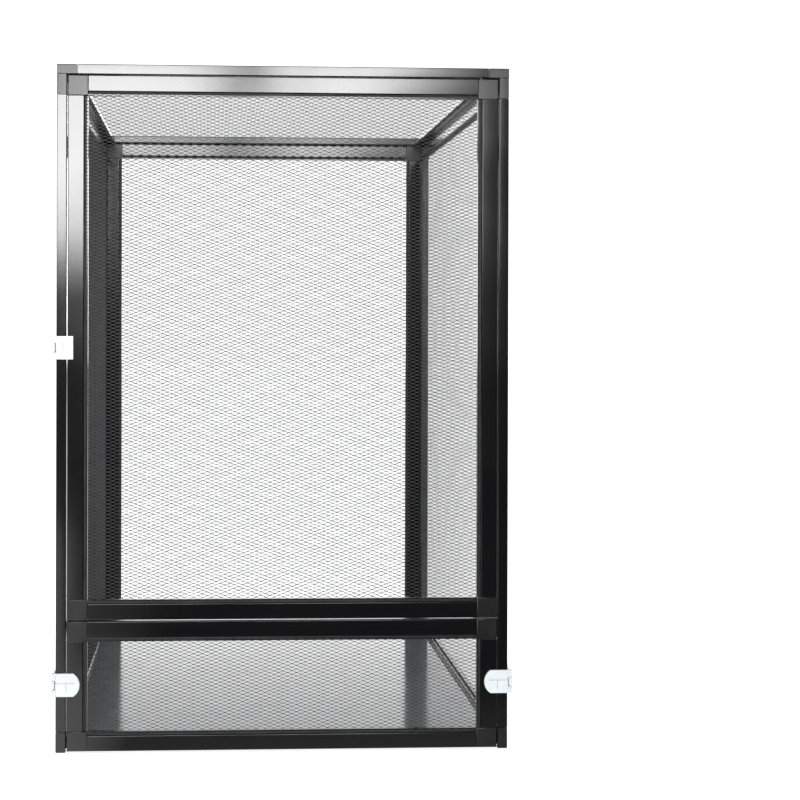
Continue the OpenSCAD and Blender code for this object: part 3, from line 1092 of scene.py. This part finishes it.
@dataclass
class RivetPair:
    """The bracket's rivets, with low domed heads."""

    head_r: float = 2.0 * MM
    dome: float = 0.7 * MM
    shank_r: float = 1.2 * MM
    crown: tuple = ((0.5, 0.06 * MM), (0.85, 0.3 * MM))
    steps: int = 24

    def build(self) -> bpy.types.Object:
        """Builds both rivets in place of their node.

        Returns:
            The rivets.
        """
        low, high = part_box("bracket_rivets")
        y = (low.y + high.y) / 2
        outline = [
            (0.0, 0.0), *((self.head_r * share, at) for share, at in self.crown), (self.head_r, self.dome),
            (self.shank_r, self.dome), (self.shank_r, high.x - low.x), (0.0, high.x - low.x),
        ]
        bm = bmesh.new()
        for z in (low.z + self.head_r, high.z - self.head_r):
            verts = [bm.verts.new((low.x + along, y, z + radius)) for radius, along in outline]
            turned(bm, verts, (0, y, z), (1, 0, 0), self.steps)
        bmesh.ops.remove_doubles(bm, verts=bm.verts, dist=WELD)
        return piece("rivets", bm, ZINC, "cage", "steel", "bracket_rivets")


@dataclass
class Member:
    """A rail, stile or set of corners in its solid's own shape, with normals that keep its flats even.

    A rail stops a hair short of its corner pieces, so that a dark joint shows at each end.
    """

    name: str
    body: str
    joint: float = 0.55 * MM
    flat_deg: float = 0.5
    crease_deg: float = 50.0

    def build(self) -> bpy.types.Object:
        """Builds the member in place of its node.

        Returns:
            The member.
        """
        bm = bmesh.new()
        bm.from_mesh(frame["nodes"][self.name].data)
        bmesh.ops.remove_doubles(bm, verts=bm.verts, dist=WELD)
        bmesh.ops.dissolve_limit(
            bm, angle_limit=math.radians(self.flat_deg), verts=bm.verts, edges=bm.edges
        )
        slot = "corner"
        if not self.name.endswith("_corners"):
            slot = "frame"
            low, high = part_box(self.name)
            along = longest(self.name).value
            shrink = [1.0, 1.0, 1.0]
            shrink[along] -= 2 * self.joint / (high - low)[along]
            bmesh.ops.scale(bm, vec=shrink, space=Matrix.Translation(-(low + high) / 2), verts=bm.verts)
        made = piece(
            f"{self.name}_shape", bm, finish_of(self.name), self.body, slot, self.name, crease=self.crease_deg
        )
        soft = made.modifiers.new("soft_edges", "WEIGHTED_NORMAL")
        soft.keep_sharp = True
        return made


@dataclass
class CageFrame:
    """The rails and corners, and the floor and hinge parts that keep their own solids and take a finish."""

    def build(self) -> None:
        """Builds each rail and corner, and gives each node its finish."""
        for body, names in frame["record"]["behaviour"]["bodies"].items():
            for name in names:
                self.dress(name)
                if name.endswith(("_rail", "_stile", "_corners")):
                    Member(name, body).build()

    def dress(self, name: str) -> None:
        """Gives a node its finish.

        Args:
            name: The node.
        """
        finish = finish_of(name)
        materials = frame["nodes"][name].data.materials
        materials.clear()
        materials.append(finish.material())
        LOG.info("%s: %s", name, finish.name)


@dataclass(frozen=True)
class Softbox:
    """A soft light behind the camera that faces the cage, by its edges in metres."""

    name: str
    left: float
    right: float
    bottom: float
    top: float = 1.45
    y: float = -2.6
    radiance: float = 23.5

    def build(self) -> None:
        """Hangs the light."""
        light = bpy.data.lights.new(self.name, "AREA")
        light.shape = "RECTANGLE"
        light.size = self.right - self.left
        light.size_y = self.top - self.bottom
        light.energy = self.radiance * math.pi * light.size * light.size_y
        made = bpy.data.objects.new(self.name, light)
        made.location = ((self.left + self.right) / 2, self.y, (self.top + self.bottom) / 2)
        made.rotation_euler = (math.pi / 2, 0, 0)
        made.visible_camera = False
        bpy.context.scene.collection.objects.link(made)


@dataclass
class Studio:
    """The pale floor, the soft light and the camera.

    The ramps and slant after floor_glow paint a reflection: how bright the floor shows, by its X or Y, to
    reflected rays alone.
    """

    eye: tuple[float, float, float] = (-0.07045, -1.3782, 0.4212)
    yaw: float = -0.0372
    pitch: float = -0.0015
    roll: float = 0.0026
    focal_px: float = 1162.9
    centre_px: tuple[float, float] = (256.3, 328.3)
    picture_px: float = 800.0
    sensor_mm: float = 36.0
    clip: tuple[float, float] = (0.05, 100.0)
    surround: float = 1.3
    sky_back: Ramp = Ramp(-0.25, 0.5, 0.02, 1.0)
    sky_low: Ramp = Ramp(0.22, 0.42, 4.6, 1.3)
    floor_size: float = 12.0
    floor_z: float = -0.0003
    floor_colour: str = "#f2f2f2"
    floor_roughness: float = 0.9
    floor_specular: float = 0.1
    floor_glow: float = 0.6
    # Painted reflection: levels that the floor shows to reflected rays, not light that falls on it.
    painted_reflection_behind: Ramp = Ramp(-0.42, 0.4, 0.04, 1.6)
    painted_reflection_right: Ramp = Ramp(0.35, 0.8, 1.0, 0.1)
    painted_reflection_slant: float = -0.123
    painted_reflection_strip: Ramp = Ramp(-0.172, -0.192, 0.0, 1.5)
    painted_reflection_reach: Ramp = Ramp(-0.14, -0.21)
    painted_reflection_foot: Ramp = Ramp(-0.62, -0.42, 0.35, 1.7)
    painted_reflection_near: Ramp = Ramp(-1.65, -1.5)
    softboxes: tuple[Softbox, ...] = (
        Softbox("softbox_left", -0.85, -0.045, 0.66),
        Softbox("softbox_right", 0.095, 0.5, 0.66),
        Softbox("softbox_high", 0.5, 0.6, 1.13),
    )

    def painted_reflection(self, tree: Tree) -> Socket:
        """Gives the painted reflection: how bright the floor shows to reflected rays, by where on it they
        land.

        Args:
            tree: The floor's nodes.

        Returns:
            The brightness.
        """
        place = node(tree, "ShaderNodeSeparateXYZ", {0: node(tree, "ShaderNodeTexCoord").outputs["Object"]})
        x, y = place.outputs["X"], place.outputs["Y"]
        # Painted reflection: the floor shows dark to reflected rays in front, bright behind and dimmer on the
        # right.
        far = maths(tree, "MULTIPLY", self.painted_reflection_behind.of(tree, y), self.painted_reflection_right.of(tree, x))
        # A painted bright strip and patch on the left as well, placed so that the doors' left stiles show
        # little of it above the lower door.
        strip = self.painted_reflection_strip.of(tree, maths(tree, "MULTIPLY_ADD", y, self.painted_reflection_slant, x))
        stile = maths(tree, "MULTIPLY", self.painted_reflection_reach.of(tree, x), self.painted_reflection_foot.of(tree, y))
        left = maths(tree, "MAXIMUM", strip, stile)
        beside = maths(tree, "MULTIPLY", left, self.painted_reflection_near.of(tree, y))
        return maths(tree, "MAXIMUM", far, beside)

    def floor(self) -> None:
        """Lays the pale floor, which shines a little of itself so that it fades into the white surround."""
        bm = bmesh.new()
        bmesh.ops.create_grid(bm, x_segments=1, y_segments=1, size=self.floor_size)
        mesh = bpy.data.meshes.new("floor")
        bm.to_mesh(mesh)
        bm.free()
        made = bpy.data.objects.new("floor", mesh)
        made.location.z = self.floor_z
        bpy.context.scene.collection.objects.link(made)
        paint = bpy.data.materials.new("pale_floor")
        paint.use_nodes = True
        tree = paint.node_tree
        shader = tree.nodes["Principled BSDF"]
        shader.inputs["Base Color"].default_value = linear(self.floor_colour)
        shader.inputs["Roughness"].default_value = self.floor_roughness
        shader.inputs["Specular IOR Level"].default_value = self.floor_specular
        shader.inputs["Emission Color"].default_value = (1, 1, 1, 1)
        shader.inputs["Emission Strength"].default_value = self.floor_glow
        # Reflected rays see a painted reflection glow in place of the floor's own shading.
        painted_reflection = node(tree, "ShaderNodeEmission", {"Strength": self.painted_reflection(tree)})
        glossy = node(tree, "ShaderNodeLightPath").outputs["Is Glossy Ray"]
        both = node(
            tree, "ShaderNodeMixShader", {0: glossy, 1: shader.outputs[0], 2: painted_reflection.outputs[0]}
        )
        tree.links.new(both.outputs[0], tree.nodes["Material Output"].inputs["Surface"])
        mesh.materials.append(paint)

    def world(self) -> None:
        """Makes the white surround: bright and low behind the cage, dim behind the camera."""
        sky = bpy.data.worlds.new("studio")
        sky.use_nodes = True
        bpy.context.scene.world = sky
        tree = sky.node_tree
        tree.nodes.clear()
        way = node(tree, "ShaderNodeSeparateXYZ", {0: node(tree, "ShaderNodeTexCoord").outputs["Generated"]})
        back = self.sky_back.of(tree, way.outputs["Y"], interpolation_type="SMOOTHSTEP")
        lit = maths(tree, "MULTIPLY", back, self.sky_low.of(tree, way.outputs["Z"]))
        seen = node(tree, "ShaderNodeLightPath").outputs["Is Camera Ray"]
        level = node(tree, "ShaderNodeMix", {"Factor": seen, 2: lit, 3: self.surround}, data_type="FLOAT")
        glow = node(tree, "ShaderNodeBackground", {"Color": (1, 1, 1, 1), "Strength": level.outputs[0]})
        node(tree, "ShaderNodeOutputWorld", {"Surface": glow.outputs[0]})

    def camera(self) -> None:
        """Sets the camera where the picture was taken from."""
        lens = bpy.data.cameras.new("camera")
        lens.sensor_fit = "HORIZONTAL"
        lens.sensor_width = self.sensor_mm
        lens.lens = self.focal_px / self.picture_px * self.sensor_mm
        lens.shift_x = 0.5 - self.centre_px[0] / self.picture_px
        lens.shift_y = self.centre_px[1] / self.picture_px - 0.5
        lens.clip_start, lens.clip_end = self.clip
        made = bpy.data.objects.new("camera", lens)
        turn = (
            Matrix.Rotation(self.yaw, 4, "Z")
            @ Matrix.Rotation(math.pi / 2 + self.pitch, 4, "X")
            @ Matrix.Rotation(self.roll, 4, "Z")
        )
        made.matrix_world = Matrix.Translation(self.eye) @ turn
        bpy.context.scene.collection.objects.link(made)
        bpy.context.scene.camera = made

    def build(self) -> None:
        """Sets up the whole studio."""
        self.camera()
        self.floor()
        self.world()
        for softbox in self.softboxes:
            softbox.build()
        bpy.context.scene.view_settings.view_transform = "Standard"
        LOG.info("studio set")


NETS = [
    NetPanel("top", "cage", Axis.X, Axis.Y, -1, Weave.PLAIN, louvre_deg=6.5),
    NetPanel("left", "cage", Axis.Z, Axis.Y, 1, Weave.STOUTEST, louvre_deg=36.0),
    NetPanel("right", "cage", Axis.Z, Axis.Y, -1, Weave.STOUTEST, louvre_deg=-30.0),
    NetPanel("back", "cage", Axis.X, Axis.Z, -1, Weave.SLIGHT),
    NetPanel("upper_door", "upper_door", Axis.X, Axis.Z, -1, Weave.STOUT),
    NetPanel("lower_door", "lower_door", Axis.X, Axis.Z, -1, Weave.STOUT),
]
LATCHES = [
    Latch("upper_latch", "upper_door", Side.LEFT, round_end=0.0, slot_rise=-3.4 * MM),
    Latch("lower_left_latch", "lower_door", Side.LEFT, round_end=13.5 * MM, slot_rise=2.6 * MM),
    Latch("lower_right_latch", "lower_door", Side.RIGHT, round_end=13.5 * MM, slot_rise=2.6 * MM),
]


def main() -> None:
    """Builds the studio and every piece in order."""
    logging.basicConfig(level=logging.INFO, format="%(message)s")
    Studio().build()
    CageFrame().build()
    for net in NETS:
        net.build()
        SplineSet(net.panel, net.body).build()
    for latch in LATCHES:
        latch.build_base()
        latch.build_flap()
    ScrewSet().build()
    RivetPair().build()
    bpy.context.view_layer.update()


if __name__ == "__main__":
    main()
